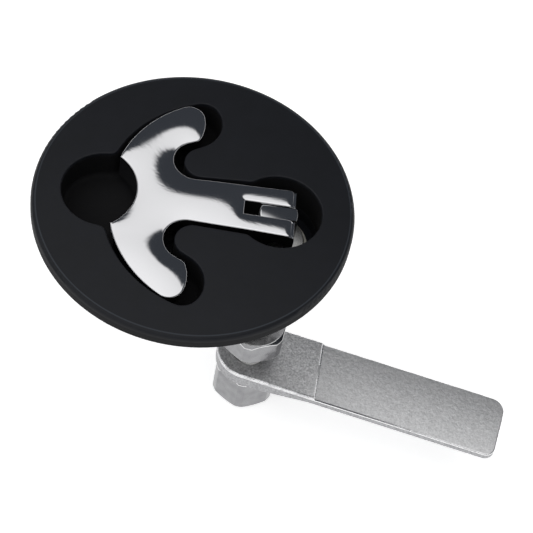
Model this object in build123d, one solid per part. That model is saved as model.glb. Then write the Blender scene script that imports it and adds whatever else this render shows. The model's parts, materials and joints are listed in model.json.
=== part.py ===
"""Flush pull latch: a round black housing, an anchor-shaped folding handle and a cam arm.

The handle folds flat into the housing's pocket. Lifting it rolls its spiral heels on a
thrust washer, which lets the shaft drop and slackens the arm, so that the handle can
then turn shaft and arm out of the way.

Frame: Z is the shaft's direction and points out of the front face. The origin is the
centre of the flange's seat plane, on the axis of the round rear body. The handle's
head lies toward -X and its pivot toward +X.
"""
import os
from math import cos, pi, radians, sin, sqrt, tan

from build123d import *

# Housing: flange and rear body
flange_thickness = 3.6
flange_lip = 5.3
flange_edge_round = 0.8
rear_wall = 1.9
floor_wall = 1.9
pocket_depth = 9.0
pocket_edge_round = 0.35
pocket_floor_round = 1.4

# Finger recess under the handle's concave end
finger_recess_offset = 22.1
finger_recess_radius = 11.0

# Gasket ring let into the rear of the flange
gasket_width = 2.3
gasket_height = 1.6
gasket_stand_proud = 0.4
gasket_side_clearance = 0.05

# Shaft and its guide in the housing
shaft_offset = 21.2
shaft_radius = 5.0
shaft_run_clearance = 0.04
tongue_thickness = 3.6
tongue_top_depth = 0.7
tongue_corner_round = 0.6
shaft_end_chamfer = 1.0
bush_wall = 1.4
bush_flange_radius = 8.8
bush_flange_thickness = 1.2
bush_length = 12.0
neck_wall = 2.4
neck_end_lip = 1.0
recess_wall = 2.2
recess_past_stem = 2.4

# Seals round the shaft
o_ring_section = 1.8
o_ring_squeeze = 0.02
o_ring_groove_clearance = 0.1
first_o_ring_below_flange = 3.4
o_ring_spacing = 4.2

# Thrust washer under the handle's heels
washer_top_depth = 12.0
washer_thickness = 2.0
washer_radius = 7.8
washer_slot_clearance = 0.15
shoulder_clearance = 0.4

# Handle outline: tangent arcs as radius and turn, for the half with positive Y
handle_corner_offset = 19.9
handle_corner_half_width = 10.0
handle_corner_heading = 75.8
outer_edge_radius = 30.4
outer_edge_turn = 45.7
tip_radius = 3.9
tip_turn = 103.6
tip_side_radius = 11.3
tip_side_turn = 37.6
tip_corner_radius = 1.8
tip_corner_turn = 43.8
tip_flat = 2.1
bite_radius = 5.8
bite_turn = 156.9
concave_end_radius = 12.6
concave_end_offset = 27.1

# Handle section
handle_crown = 1.2
handle_crown_radius = 600.0
handle_edge_round = 0.45
head_thickness = 7.6
heel_taper_start = 8.7
heel_taper_end = 4.7
slot_width = 4.1
slot_end_from_pivot = 8.7
fork_end_round = 1.9

# Pivot of the handle: a cross pin, and spiral heels that change the support height
pin_radius = 2.0
pin_end_inset = 0.3
pin_run_clearance = 0.04
pin_depth = 5.6
heel_height_lifted = 4.25
heel_clearance = 0.04
heel_points = 7

# Room round the handle in its pocket
side_gap = 0.4
pocket_corner_gap = 1.3
tip_gap = 0.6
tip_side_gap = 3.0
nose_gap = 1.2
stem_gap = 1.3
pocket_heading_offset = 2.1
pocket_outer_extra_turn = 8.3
pocket_tip_less_turn = 29.4
pocket_side_extra_turn = 15.0
pocket_nose_less_turn = 3.8
pocket_corner_round = 2.5

# Retaining ring and stop washer under the neck
stop_washer_radius = 9.0
stop_washer_thickness = 1.2
stop_clearance = 0.3
retaining_ring_radius = 7.6
retaining_ring_thickness = 1.2
retaining_groove_depth = 0.5
retaining_groove_clearance = 0.05
retaining_ring_gap = 70.0

# Nuts on the threaded end
nut_across_flats = 17.0
nut_corner_radius = 9.25
nut_chamfer_radius = 8.2
nut_chamfer_angle = 36.0
nut_bore_clearance = 0.02
nut_bore_chamfer = 0.7
upper_nut_height = 8.5
upper_nut_above_arm = 6.7
upper_nut_angle = -9.0
lower_nut_height = 13.6
lower_nut_angle = -5.5
shaft_end_past_nut = 2.0

# Cam arm
arm_angle = -12.3
arm_top_depth = 67.0
arm_width = 18.6
arm_length = 73.8
arm_hub_thickness = 5.0
arm_blade_thickness = 2.2
arm_blade_drop = 0.7
arm_step_offset = 20.1
arm_step_skew = 7.4
arm_step_run = 0.7
arm_hub_flat = 6.0
arm_hole_clearance = 0.35
arm_tip_round_far = 4.0
arm_tip_round_near = 3.0
arm_edge_round = 0.5

# Heights that follow from the sizes above
face = flange_thickness
rear_body_radius = finger_recess_offset + finger_recess_radius + rear_wall
flange_radius = rear_body_radius + flange_lip
gasket_mid_radius = rear_body_radius + flange_lip / 2
pin_height = face - pin_depth
washer_top = face - washer_top_depth
washer_bottom = washer_top - washer_thickness
recess_floor = washer_bottom - bush_flange_thickness
shoulder = washer_bottom - shoulder_clearance
heel_height_folded = pin_height - washer_top
heel_fall = (heel_height_folded - heel_height_lifted) / (pi / 2)
bush_radius = shaft_radius + bush_wall
neck_end = washer_bottom - bush_length - neck_end_lip
rear_body_bottom = face - pocket_depth - floor_wall
recess_body_bottom = recess_floor - floor_wall
clevis_end = shaft_offset + heel_height_lifted
arm_top = face - arm_top_depth
lower_nut_top = arm_top - arm_hub_thickness
upper_nut_top = arm_top + upper_nut_above_arm + upper_nut_height
shaft_bottom = lower_nut_top - lower_nut_height - shaft_end_past_nut
stop_washer_top = neck_end - stop_clearance
retaining_ring_top = stop_washer_top - stop_washer_thickness
handle_corner = (-handle_corner_offset, handle_corner_half_width)
far_out = 2 * flange_radius

os.makedirs("parts", exist_ok=True)


def save(shape, name):
    """Name the shape after its node and write it."""
    shape.label = name
    export_step(shape, f"parts/{name}.step")


def disc(radius, bottom, top, x=0.0):
    """A cylinder between two heights."""
    body = Cylinder(radius, top - bottom, align=(Align.CENTER, Align.CENTER, Align.MIN))
    return Pos(x, 0, bottom) * body


def slab(x_size, y_size, bottom, top, x=0.0):
    """A box between two heights, centred on X and Y."""
    body = Box(x_size, y_size, top - bottom, align=(Align.CENTER, Align.CENTER, Align.MIN))
    return Pos(x, 0, bottom) * body


def ring(outer, inner, bottom, top, x=0.0):
    return disc(outer, bottom, top, x) - disc(inner, bottom, top, x)


def tangent_path(start, heading, steps):
    """Edges that follow each other smoothly: (radius, turn) is an arc, (length,) is straight."""
    edges = []
    point = Vector(*start)
    for step in steps:
        direction = Vector(cos(radians(heading)), sin(radians(heading)))
        if len(step) == 1:
            edge = Line(point, point + direction * step[0])
        else:
            edge = JernArc(point, direction, step[0], step[1])
            heading += step[1]
        edges.append(edge)
        point = edge @ 1
    return edges, point, heading


def anchor_face(start, heading, steps, end_x, end_half_width=None):
    """An anchor-shaped face, mirrored about X, from its half outline to the end of the stem."""
    edges, point, heading = tangent_path(start, heading, steps)
    if end_half_width is None:
        end_half_width = point.Y + tan(radians(heading)) * (end_x - point.X)
    corner = (end_x, end_half_width)
    edges.append(Line(point, corner))
    edges.append(Polyline(corner, (end_x, 0), (start[0], 0), start))
    half = make_face(edges)
    return half + mirror(half, about=Plane.XZ)


def handle_steps():
    return [
        (outer_edge_radius, -outer_edge_turn),
        (tip_radius, -tip_turn),
        (tip_side_radius, -tip_side_turn),
        (tip_corner_radius, -tip_corner_turn),
        (tip_flat,),
        (bite_radius, bite_turn),
    ]


def handle_outline():
    outline = anchor_face(handle_corner, handle_corner_heading, handle_steps(), clevis_end)
    return outline - Pos(-concave_end_offset, 0) * Circle(concave_end_radius)


def heel_curve():
    """The spiral under the pivot: its support height falls evenly as the handle lifts."""
    points = []
    for index in range(heel_points):
        lift = (pi / 2) * index / (heel_points - 1)
        height = heel_height_folded - heel_clearance - heel_fall * lift
        x = height * sin(lift) - heel_fall * cos(lift)
        z = -height * cos(lift) - heel_fall * sin(lift)
        points.append((shaft_offset + x, pin_height + z))
    return Spline(*points, tangents=[(1, 0), (0, 1)])


def make_handle():
    """Polished casting with two curved arms, a stem and a forked end."""
    top = face + handle_crown
    heel = heel_curve()
    heel_start = heel @ 0
    heel_end = heel @ 1
    head_bottom = face - head_thickness
    head_end = handle_corner[0] - side_gap
    side = make_face([
        heel,
        Polyline(
            heel_end,
            (heel_end.X, top),
            (head_end, top),
            (head_end, head_bottom),
            (shaft_offset - heel_taper_start, head_bottom),
            (shaft_offset - heel_taper_end, heel_start.Y),
            heel_start,
        ),
    ])
    side_body = extrude(Plane.XZ * side, amount=far_out, both=True)
    body = extrude(Pos(0, 0, heel_start.Y) * handle_outline(), amount=top - heel_start.Y)
    crown = Pos(0, 0, top - handle_crown_radius) * Sphere(handle_crown_radius)
    body = body & side_body & crown
    top_edges = body.edges().filter_by(lambda edge: edge.center().Z > face - handle_edge_round)
    body = fillet(top_edges.sort_by(Axis.X)[:-1], handle_edge_round)
    body -= fork_end_corner()
    slot_end = shaft_offset - slot_end_from_pivot
    slot_length = clevis_end - slot_end + slot_width
    slot = slab(slot_length, slot_width, 2 * heel_start.Y, far_out, slot_end + slot_length / 2)
    body -= slot
    return body - cross_bore(pin_radius)


def fork_end_corner():
    """What the rounding of the fork's end takes off, down from the crowned top."""
    end_top = face + handle_crown - clevis_end**2 / (2 * handle_crown_radius)
    start = (clevis_end, end_top - fork_end_round)
    arc = JernArc(start, (0, 1), fork_end_round, 90)
    outside = clevis_end + fork_end_round
    above = end_top + fork_end_round
    finish = arc @ 1
    corner = make_face([
        arc,
        Polyline(finish, (finish.X, above), (outside, above), (outside, start[1]), start),
    ])
    return extrude(Plane.XZ * corner, amount=far_out, both=True)


def cross_bore(radius):
    """A cylinder across the shaft at the pivot, long enough to cut any piece there."""
    return Pos(shaft_offset, 0, pin_height) * Rot(90, 0, 0) * Cylinder(radius, far_out)


def make_cross_pin():
    """Pin pressed into the fork, cut off just short of the fork's outer sides."""
    length = 2 * (fork_half_width() - pin_end_inset)
    pin = Pos(shaft_offset, 0, pin_height) * Rot(90, 0, 0) * Cylinder(pin_radius, length)
    return chamfer(pin.edges(), pin_radius / 8)


def fork_half_width():
    """Half width of the handle's fork at the pivot."""
    path, point, heading = tangent_path(handle_corner, handle_corner_heading, handle_steps())
    return point.Y + tan(radians(heading)) * (shaft_offset - point.X)


def stem_room():
    """Half width of the pocket beside the handle's stem, at the pivot."""
    return fork_half_width() + stem_gap


def pivot_recess_radius():
    """The round recess reaches a little past the stem's room on both sides."""
    return stem_room() + recess_past_stem


def pocket_outline():
    """Room round the handle, wide at the arm tips and bites, with both round recesses."""
    start = (handle_corner[0] - pocket_corner_gap, handle_corner[1] + side_gap)
    steps = [
        (outer_edge_radius + side_gap, -(outer_edge_turn + pocket_outer_extra_turn)),
        (tip_radius + tip_gap, -(tip_turn - pocket_tip_less_turn)),
        (tip_side_radius - tip_side_gap, -(tip_side_turn + tip_corner_turn + pocket_side_extra_turn)),
        (tip_flat,),
        (bite_radius - nose_gap, bite_turn - pocket_nose_less_turn),
    ]
    heading = handle_corner_heading - pocket_heading_offset
    outline = anchor_face(start, heading, steps, shaft_offset, stem_room())
    outline += Pos(shaft_offset, 0) * Circle(pivot_recess_radius())
    outline += Pos(-finger_recess_offset, 0) * Circle(finger_recess_radius)
    finger_corners = outline.vertices().sort_by(Axis.X)[:2]
    outline = fillet(finger_corners, pocket_corner_round)
    stem_corners = outline.vertices().sort_by(lambda vertex: abs(vertex.X - pivot_recess_start()))[:2]
    return fillet(stem_corners, pocket_corner_round)


def pivot_recess_start():
    """Where the side of the pocket's stem runs into the round pivot recess."""
    return shaft_offset - sqrt(pivot_recess_radius()**2 - stem_room()**2)


def make_housing():
    """Round flange with a shallow rear body, a deeper cup round the pivot and a neck."""
    flange = disc(flange_radius, 0, face)
    flange = fillet(flange.edges().group_by(Axis.Z)[-1], flange_edge_round)
    groove_floor = gasket_height - gasket_stand_proud
    groove_half = gasket_width / 2 + gasket_side_clearance
    groove = ring(gasket_mid_radius + groove_half, gasket_mid_radius - groove_half, 0, groove_floor)
    body = flange - groove
    body += disc(rear_body_radius, rear_body_bottom, 0)
    body += disc(pivot_recess_radius() + recess_wall, recess_body_bottom, rear_body_bottom, shaft_offset)
    body += disc(bush_radius + neck_wall, neck_end, recess_body_bottom, shaft_offset)
    pocket = extrude(Pos(0, 0, face - pocket_depth) * pocket_outline(), amount=pocket_depth)
    body -= fillet(pocket.edges().group_by(Axis.Z)[0], pocket_floor_round)
    front = body.faces().filter_by(Plane.XY).sort_by(Axis.Z)[-1]
    rim = [edge for wire in front.inner_wires() for edge in wire.edges()]
    body = fillet(rim, pocket_edge_round)
    recess_top = face - pocket_depth + pocket_floor_round
    body -= disc(pivot_recess_radius(), washer_bottom, recess_top, shaft_offset)
    body -= disc(bush_flange_radius, recess_floor, washer_bottom, shaft_offset)
    body -= disc(bush_radius, neck_end + neck_end_lip, recess_floor, shaft_offset)
    return body - disc(shaft_radius + shaft_run_clearance, neck_end, washer_bottom, shaft_offset)


def make_shaft():
    """Round bar with a flat tongue at the top and a threaded lower end, here at full diameter."""
    bar = disc(shaft_radius, shaft_bottom, shoulder, shaft_offset)
    bar = chamfer(bar.edges().group_by(Axis.Z)[0], shaft_end_chamfer)
    tongue = disc(shaft_radius, shoulder, face - tongue_top_depth, shaft_offset)
    tongue &= slab(far_out, tongue_thickness, shoulder, face, shaft_offset)
    ends = tongue.edges().group_by(Axis.Z)[-1].filter_by(GeomType.CIRCLE)
    tongue = fillet(ends, tongue_corner_round)
    shaft = bar + tongue
    shaft -= cross_bore(pin_radius + pin_run_clearance)
    for height in o_ring_heights():
        shaft -= groove_ring(o_ring_core(), o_ring_section + 2 * o_ring_groove_clearance, height)
    groove_width = retaining_ring_thickness + 2 * retaining_groove_clearance
    middle = retaining_ring_top - retaining_ring_thickness / 2
    return shaft - groove_ring(shaft_radius - retaining_groove_depth, groove_width, middle)


def groove_ring(core, width, middle):
    """What a turned groove takes off the shaft."""
    return ring(far_out, core, middle - width / 2, middle + width / 2, shaft_offset)


def o_ring_core():
    return shaft_radius - o_ring_section + o_ring_squeeze


def o_ring_heights():
    first = washer_bottom - first_o_ring_below_flange
    return [first, first - o_ring_spacing]


def make_o_ring(height):
    middle_radius = shaft_radius + o_ring_squeeze - o_ring_section / 2
    return Pos(shaft_offset, 0, height) * Torus(middle_radius, o_ring_section / 2)


def make_bush():
    """Flanged bush, pressed into the neck from the front."""
    bush = disc(bush_radius, washer_bottom - bush_length, washer_bottom, shaft_offset)
    bush += disc(bush_flange_radius, recess_floor, washer_bottom, shaft_offset)
    return bush - disc(shaft_radius + shaft_run_clearance, neck_end, washer_bottom, shaft_offset)


def make_thrust_washer():
    """Round washer with a slot that the shaft's tongue slides through."""
    washer = disc(washer_radius, washer_bottom, washer_top, shaft_offset)
    washer = fillet(washer.edges().group_by(Axis.Z)[-1], washer_thickness / 6)
    slot = disc(shaft_radius + washer_slot_clearance, washer_bottom, washer_top, shaft_offset)
    slot &= slab(far_out, tongue_thickness + 2 * washer_slot_clearance, washer_bottom, washer_top, shaft_offset)
    return washer - slot


def make_gasket():
    bottom = -gasket_stand_proud
    half = gasket_width / 2
    return ring(gasket_mid_radius + half, gasket_mid_radius - half, bottom, bottom + gasket_height)


def make_stop_washer():
    bottom = stop_washer_top - stop_washer_thickness
    bore = shaft_radius + washer_slot_clearance
    return ring(stop_washer_radius, bore, bottom, stop_washer_top, shaft_offset)


def make_retaining_ring():
    """Open spring ring in the shaft's groove."""
    bottom = retaining_ring_top - retaining_ring_thickness
    core = shaft_radius - retaining_groove_depth + retaining_groove_clearance
    clip = ring(retaining_ring_radius, core, bottom, retaining_ring_top, shaft_offset)
    reach = 2 * retaining_ring_radius
    half = radians(retaining_ring_gap / 2)
    wedge = make_face(Polyline(
        (0, 0),
        (reach * cos(half), reach * sin(half)),
        (reach * cos(half), -reach * sin(half)),
        (0, 0),
    ))
    return clip - extrude(Pos(shaft_offset, 0, bottom) * wedge, amount=retaining_ring_thickness)


def make_nut(height, top, angle):
    """Hexagon nut with corners turned down and round ends, one corner toward -Y before it is turned."""
    prism = extrude(RegularPolygon(nut_across_flats / 2, 6, major_radius=False, rotation=30), amount=height)
    fall = (nut_corner_radius - nut_chamfer_radius) * tan(radians(nut_chamfer_angle))
    profile = Plane.XZ * make_face(Polyline(
        (0, 0),
        (nut_chamfer_radius, 0),
        (nut_corner_radius, fall),
        (nut_corner_radius, height - fall),
        (nut_chamfer_radius, height),
        (0, height),
        (0, 0),
    ))
    nut = prism & revolve(profile, Axis.Z)
    nut -= Cylinder(shaft_radius + nut_bore_clearance, 3 * height)
    bore_edges = nut.edges().filter_by(GeomType.CIRCLE).sort_by(SortBy.RADIUS)[:2]
    nut = chamfer(bore_edges, nut_bore_chamfer)
    return Pos(shaft_offset, 0, top - height) * Rot(0, 0, angle) * nut


def make_cam_arm():
    """Cast arm: a thick round hub that thins to a skewed step, then a thin flat blade."""
    half = arm_width / 2
    blade = Pos(arm_length / 2, 0) * Rectangle(arm_length, arm_width)
    tip = blade.vertices().group_by(Axis.X)[-1].sort_by(Axis.Y)
    blade = fillet(tip[0], arm_tip_round_near)
    tip = blade.vertices().group_by(Axis.Y)[-1].sort_by(Axis.X)[-1]
    blade = fillet(tip, arm_tip_round_far)
    body = extrude(blade + Circle(half), amount=-arm_hub_thickness)
    blade_bottom = -arm_blade_drop - arm_blade_thickness
    underside = Plane.XZ * make_face(Polyline(
        (arm_hub_flat, -arm_hub_thickness),
        (arm_step_offset, blade_bottom),
        (far_out, blade_bottom),
        (far_out, -arm_hub_thickness),
        (arm_hub_flat, -arm_hub_thickness),
    ))
    body -= extrude(underside, amount=arm_width, both=True)
    step = Plane.XZ * make_face(Polyline(
        (0, 0),
        (arm_step_run, -arm_blade_drop),
        (far_out, -arm_blade_drop),
        (far_out, 0),
        (0, 0),
    ))
    body -= Pos(arm_step_offset, 0) * Rot(0, 0, arm_step_skew) * extrude(step, amount=arm_width, both=True)
    sides = body.edges().filter_by(lambda edge: on_arm_outline(edge) and edge.center().Z > blade_bottom / 2)
    body = fillet(sides, arm_edge_round)
    body -= Cylinder(shaft_radius + arm_hole_clearance, 3 * arm_hub_thickness)
    return Pos(shaft_offset, 0, arm_top) * Rot(0, 0, arm_angle) * body


def on_arm_outline(edge):
    """True for a level edge that lies along the arm's outer side."""
    ends = [edge @ 0, edge @ 1]
    level = abs(ends[0].Z - ends[1].Z) < arm_edge_round / 100
    middle = edge @ 0.5
    at_side = abs(middle.Y) > arm_width / 2 - arm_tip_round_far / 4
    at_hub = abs(middle.X**2 + middle.Y**2 - arm_width**2 / 4) < arm_edge_round
    at_tip = middle.X > arm_length - arm_tip_round_far
    return level and (at_side or at_hub or at_tip)


save(make_housing(), "housing")
save(make_gasket(), "flange_gasket")
save(make_bush(), "shaft_bush")
save(make_thrust_washer(), "thrust_washer")
save(make_shaft(), "shaft")
for name, height in zip(("upper_shaft_seal", "lower_shaft_seal"), o_ring_heights()):
    save(make_o_ring(height), name)
save(make_handle(), "handle")
save(make_cross_pin(), "handle_cross_pin")
save(make_stop_washer(), "stop_washer")
save(make_retaining_ring(), "retaining_ring")
save(make_nut(upper_nut_height, upper_nut_top, upper_nut_angle), "upper_nut")
save(make_nut(lower_nut_height, lower_nut_top, lower_nut_angle), "lower_nut")
save(make_cam_arm(), "cam_arm")
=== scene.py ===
import json
import math

import bpy
import numpy as np
from mathutils import Matrix, Vector
from mathutils.geometry import delaunay_2d_cdt

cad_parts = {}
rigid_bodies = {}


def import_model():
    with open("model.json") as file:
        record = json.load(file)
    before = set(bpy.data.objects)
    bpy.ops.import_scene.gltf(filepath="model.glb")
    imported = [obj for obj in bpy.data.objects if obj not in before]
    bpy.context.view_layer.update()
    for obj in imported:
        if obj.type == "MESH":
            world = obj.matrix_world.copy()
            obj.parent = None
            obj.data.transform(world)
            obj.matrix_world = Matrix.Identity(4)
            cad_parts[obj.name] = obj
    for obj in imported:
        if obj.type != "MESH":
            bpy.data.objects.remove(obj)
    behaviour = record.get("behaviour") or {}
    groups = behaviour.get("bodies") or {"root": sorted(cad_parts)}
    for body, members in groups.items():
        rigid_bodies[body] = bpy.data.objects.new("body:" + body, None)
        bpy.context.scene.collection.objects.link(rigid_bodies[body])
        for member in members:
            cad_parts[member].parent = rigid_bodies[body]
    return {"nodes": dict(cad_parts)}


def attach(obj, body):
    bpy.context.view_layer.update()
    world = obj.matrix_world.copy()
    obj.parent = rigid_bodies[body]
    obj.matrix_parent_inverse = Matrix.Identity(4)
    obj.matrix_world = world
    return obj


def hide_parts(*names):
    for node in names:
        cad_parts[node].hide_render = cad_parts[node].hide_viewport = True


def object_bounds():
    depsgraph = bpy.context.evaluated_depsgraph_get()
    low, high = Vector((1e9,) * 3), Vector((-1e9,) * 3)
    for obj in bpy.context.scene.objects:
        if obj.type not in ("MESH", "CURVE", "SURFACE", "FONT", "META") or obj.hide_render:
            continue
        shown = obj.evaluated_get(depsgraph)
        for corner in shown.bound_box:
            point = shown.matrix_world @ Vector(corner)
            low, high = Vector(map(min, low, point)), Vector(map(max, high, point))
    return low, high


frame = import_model()
nodes = frame["nodes"]
cad_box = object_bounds()
for thing in bpy.data.objects:
    thing.select_set(False)

# Camera: it looks down on the face from the front, a little from the left, with a long lens
# and tilted about its own line of sight, as the photograph was taken.
MM = 0.001
FLANGE_THICKNESS = 3.6 * MM
VIEW_DISTANCE = 396.3 * MM
VIEW_ELEVATION = math.radians(55.68)
VIEW_AZIMUTH = math.radians(-5.71)
VIEW_ROLL = math.radians(12.04)
FOCAL_PIXELS = 1600
IMAGE_PIXELS = 533
SENSOR_MM = 36
FACE_CENTRE_PIXEL = (194.7, 200.1)
toward_camera = Vector((
    math.cos(VIEW_ELEVATION) * math.sin(VIEW_AZIMUTH),
    -math.cos(VIEW_ELEVATION) * math.cos(VIEW_AZIMUTH),
    math.sin(VIEW_ELEVATION),
))
level_right = Vector((math.cos(VIEW_AZIMUTH), math.sin(VIEW_AZIMUTH), 0))
level_up = toward_camera.cross(level_right)
camera_right = level_right * math.cos(VIEW_ROLL) + level_up * math.sin(VIEW_ROLL)
camera_up = level_up * math.cos(VIEW_ROLL) - level_right * math.sin(VIEW_ROLL)
pixel_size = VIEW_DISTANCE / FOCAL_PIXELS
right_shift = (IMAGE_PIXELS / 2 - FACE_CENTRE_PIXEL[0]) * pixel_size
up_shift = (FACE_CENTRE_PIXEL[1] - IMAGE_PIXELS / 2) * pixel_size
camera_place = (
    Vector((0, 0, FLANGE_THICKNESS))
    + toward_camera * VIEW_DISTANCE
    + camera_right * right_shift
    + camera_up * up_shift
)
bpy.ops.object.camera_add(location=camera_place)
camera = bpy.context.object
camera.name = "camera"
turn = Matrix((camera_right, camera_up, toward_camera)).transposed()
camera.rotation_euler = turn.to_euler()
camera.data.sensor_width = SENSOR_MM
camera.data.lens = FOCAL_PIXELS * SENSOR_MM / IMAGE_PIXELS
camera.data.clip_start = 0.01
bpy.context.scene.camera = camera


def linear(hex_colour):
    """An sRGB hex colour as the linear colour that a shader takes."""
    channels = [int(hex_colour[i:i + 2], 16) / 255 for i in (1, 3, 5)]
    return [c / 12.92 if c <= 0.04045 else ((c + 0.055) / 1.055) ** 2.4 for c in channels] + [1]


def add_node(tree, kind, settings=None, **links):
    """One shader node, with settings on it or its sockets and links from other outputs."""
    node = tree.nodes.new(kind)
    for name, value in (settings or {}).items():
        if isinstance(name, int) or name in node.inputs:
            node.inputs[name].default_value = value
        else:
            setattr(node, name, value)
    for name, output in links.items():
        key = int(name[1:]) if name[1:].isdigit() else name.replace("_", " ")
        tree.links.new(output, node.inputs[key])
    return node


# Studio: a broad white light overhead, toward the front left and a little dimmer at its edge, with
# a dark room between it and a white backdrop that stands low all round. The light's direction and
# angles were tuned to the reflections in the photo. The camera sees plain white round the object.
STUDIO_WHITE = "#FFFFFF"
STUDIO_DARK = "#35383D"
LIGHT_DIRECTION = Vector((-0.23, -0.19, 0.95)).normalized()
LIGHT_FULL_ANGLE = math.radians(50.0)
LIGHT_FADE_ANGLE = math.radians(53.6)
LIGHT_STRENGTH = 1.22
LIGHT_EDGE_COLOUR = "#E8E8E8"
BACKDROP_TOP = math.radians(5)
BACKDROP_FADE = math.radians(14)
world = bpy.data.worlds.new("studio")
bpy.context.scene.world = world
world.use_nodes = True
tree = world.node_tree
tree.nodes.clear()
direction = add_node(tree, "ShaderNodeTexCoord")
facing = add_node(
    tree, "ShaderNodeVectorMath", {"operation": "DOT_PRODUCT", 1: LIGHT_DIRECTION},
    _0=direction.outputs["Generated"],
)
fade = add_node(
    tree, "ShaderNodeMapRange",
    {
        "interpolation_type": "SMOOTHSTEP",
        "From Min": math.cos(LIGHT_FADE_ANGLE), "From Max": math.cos(LIGHT_FULL_ANGLE),
    },
    Value=facing.outputs["Value"],
)
toward_middle = add_node(
    tree, "ShaderNodeMapRange", {"From Min": math.cos(LIGHT_FULL_ANGLE), "From Max": 1.0},
    Value=facing.outputs["Value"],
)
light_colour = add_node(
    tree, "ShaderNodeMix", {"data_type": "RGBA", 6: linear(LIGHT_EDGE_COLOUR), 7: linear(STUDIO_WHITE)},
    _0=toward_middle.outputs["Result"],
)
height = add_node(tree, "ShaderNodeSeparateXYZ", None, Vector=direction.outputs["Generated"])
backdrop = add_node(
    tree, "ShaderNodeMapRange",
    {
        "interpolation_type": "SMOOTHSTEP",
        "From Min": math.sin(BACKDROP_FADE), "From Max": math.sin(BACKDROP_TOP),
    },
    Value=height.outputs["Z"],
)
room = add_node(
    tree, "ShaderNodeMix", {"data_type": "RGBA", 6: linear(STUDIO_DARK), 7: linear(STUDIO_WHITE)},
    _0=backdrop.outputs["Result"],
)
sky = add_node(
    tree, "ShaderNodeMix", {"data_type": "RGBA"},
    _0=fade.outputs["Result"], _6=room.outputs[2], _7=light_colour.outputs[2],
)
studio_light = add_node(tree, "ShaderNodeBackground", {"Strength": LIGHT_STRENGTH}, Color=sky.outputs[2])
plain_white = add_node(tree, "ShaderNodeBackground", {"Color": linear(STUDIO_WHITE), "Strength": 1.0})
ray = add_node(tree, "ShaderNodeLightPath")
shown = add_node(
    tree, "ShaderNodeMixShader", None,
    _0=ray.outputs["Is Camera Ray"], _1=studio_light.outputs[0], _2=plain_white.outputs[0],
)
add_node(tree, "ShaderNodeOutputWorld", None, Surface=shown.outputs[0])

# Floor: a white sheet under the lower end, which keeps a faint shadow.
FLOOR_SIZE = 4.0
FLOOR_GLOW = 0.6
FLOOR_GAP = 0.5 * MM
floor_height = cad_box[0][2] - FLOOR_GAP
bpy.ops.mesh.primitive_plane_add(size=FLOOR_SIZE, location=(0, 0, floor_height))
floor = bpy.context.object
floor.name = "floor"
bpy.ops.object.transform_apply(location=True)
paper = bpy.data.materials.new("white_paper_floor")
paper.use_nodes = True
tree = paper.node_tree
tree.nodes.clear()
matte = add_node(tree, "ShaderNodeBsdfDiffuse", {"Color": linear("#F4F4F4")})
glow = add_node(tree, "ShaderNodeEmission", {"Color": linear(STUDIO_WHITE), "Strength": FLOOR_GLOW})
lit = add_node(tree, "ShaderNodeAddShader", None, _0=matte.outputs[0], _1=glow.outputs[0])
ray = add_node(tree, "ShaderNodeLightPath")
seen = add_node(
    tree, "ShaderNodeMath", {"operation": "MAXIMUM"},
    _0=ray.outputs["Is Camera Ray"], _1=ray.outputs["Is Glossy Ray"],
)
seen = add_node(
    tree, "ShaderNodeMath", {"operation": "MAXIMUM"},
    _0=seen.outputs[0], _1=ray.outputs["Is Transmission Ray"],
)
surface = add_node(
    tree, "ShaderNodeMixShader", None,
    _0=seen.outputs[0], _1=matte.outputs[0], _2=lit.outputs[0],
)
add_node(tree, "ShaderNodeOutputMaterial", None, Surface=surface.outputs[0])
floor.data.materials.append(paper)

# Housing: one zinc casting, powder coated in a slightly bluish black with a fine dry texture. Its
# face is faintly crowned. In the pocket and on the flange's side the coat is duller, and its colour
# is darkened there as painted shade; a thin lighter line round the flange's edge is a painted highlight.
HOUSING_SMOOTH_ANGLE = math.radians(32)
MERGE_DISTANCE = 0.002 * MM
FLAT_ANGLE = math.radians(0.4)


def plain_selection():
    """Leave edit mode and select nothing."""
    if bpy.context.mode != "OBJECT":
        bpy.ops.object.mode_set(mode="OBJECT")
    bpy.ops.object.select_all(action="DESELECT")


def pick(piece):
    """Select and activate one piece alone."""
    plain_selection()
    piece.select_set(True)
    bpy.context.view_layer.objects.active = piece


def soften(piece, angle):
    """Smooth the rounded parts of a piece and keep its flat faces flat."""
    pick(piece)
    bpy.ops.object.shade_smooth_by_angle(angle=angle)
    bpy.ops.object.modifier_add(type="WEIGHTED_NORMAL")
    piece.modifiers[-1].keep_sharp = True
    bpy.ops.object.modifier_apply(modifier=piece.modifiers[-1].name)


def finished_copy(node_name, body, angle):
    """A merged and smoothed copy of a CAD piece, which stands for it."""
    piece = bpy.data.objects.new(node_name + "_finished", nodes[node_name].data.copy())
    bpy.context.collection.objects.link(piece)
    pick(piece)
    bpy.ops.object.mode_set(mode="EDIT")
    bpy.ops.mesh.select_all(action="SELECT")
    bpy.ops.mesh.remove_doubles(threshold=MERGE_DISTANCE)
    bpy.ops.mesh.dissolve_limited(angle_limit=FLAT_ANGLE)
    plain_selection()
    soften(piece, angle)
    piece.data.materials.clear()
    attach(piece, body)
    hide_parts(node_name)
    return piece


def surface_material(name, colour, metallic, roughness):
    """A new material and its main shader, with plain values on the shader's own sockets."""
    material = bpy.data.materials.new(name)
    material.use_nodes = True
    shader = material.node_tree.nodes["Principled BSDF"]
    shader.inputs["Base Color"].default_value = linear(colour)
    shader.inputs["Metallic"].default_value = metallic
    shader.inputs["Roughness"].default_value = roughness
    return material, shader


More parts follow.
